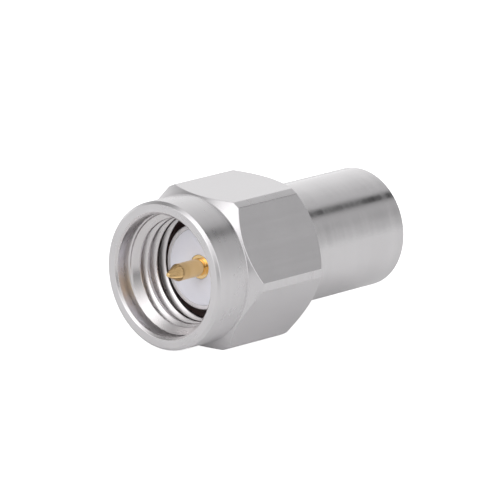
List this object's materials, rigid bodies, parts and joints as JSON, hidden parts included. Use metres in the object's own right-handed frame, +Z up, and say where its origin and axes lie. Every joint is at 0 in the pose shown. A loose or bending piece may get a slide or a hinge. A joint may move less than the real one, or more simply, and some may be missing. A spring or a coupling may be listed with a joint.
{
  "type": "coaxial terminator",
  "caption": "Coaxial load plug: hex coupling nut with a threaded socket that turns round a gold pin, and a closed round shell behind it.",
  "frame": {"origin": "on the axis, in the mating reference plane: the front face of the plug's nose", "axes": "+Y along the axis towards the closed rear end, -Y out of the mating end, +Z up, with one flat of the hexagon facing -Z"},
  "size_m": [0.009, 0.0156, 0.008],
  "materials": {
    "stainless_steel": "fine turned, satin",
    "gold_plate": "gold plated, smooth",
    "spring_alloy": "plain",
    "brass": "turned",
    "white_dielectric": "waxy, smooth",
    "dark_rubber": "matte",
    "ceramic": "fired, dark film",
    "tinned_steel": "tinned",
    "spring_steel": "plain"
  },
  "bodies": {
    "connector": {"connector_body": "stainless_steel", "front_dielectric": "white_dielectric", "rear_dielectric": "white_dielectric", "centre_contact": "gold_plate", "flange_gasket": "dark_rubber", "retaining_ring": "spring_alloy", "load_sleeve": "brass", "resistor_rod": "ceramic", "resistor_front_cap": "tinned_steel", "resistor_rear_cap": "tinned_steel", "ground_collet": "spring_alloy", "load_spring": "spring_steel", "rear_shell": "stainless_steel"},
    "nut": {"coupling_nut": "stainless_steel"}
  },
  "joints": [
    {"name": "nut_spin", "type": "hinge", "parent": "connector", "child": "nut", "pos_m": [0, 0.001, 0], "axis": [0, 1, 0], "continuous": true}
  ]
}
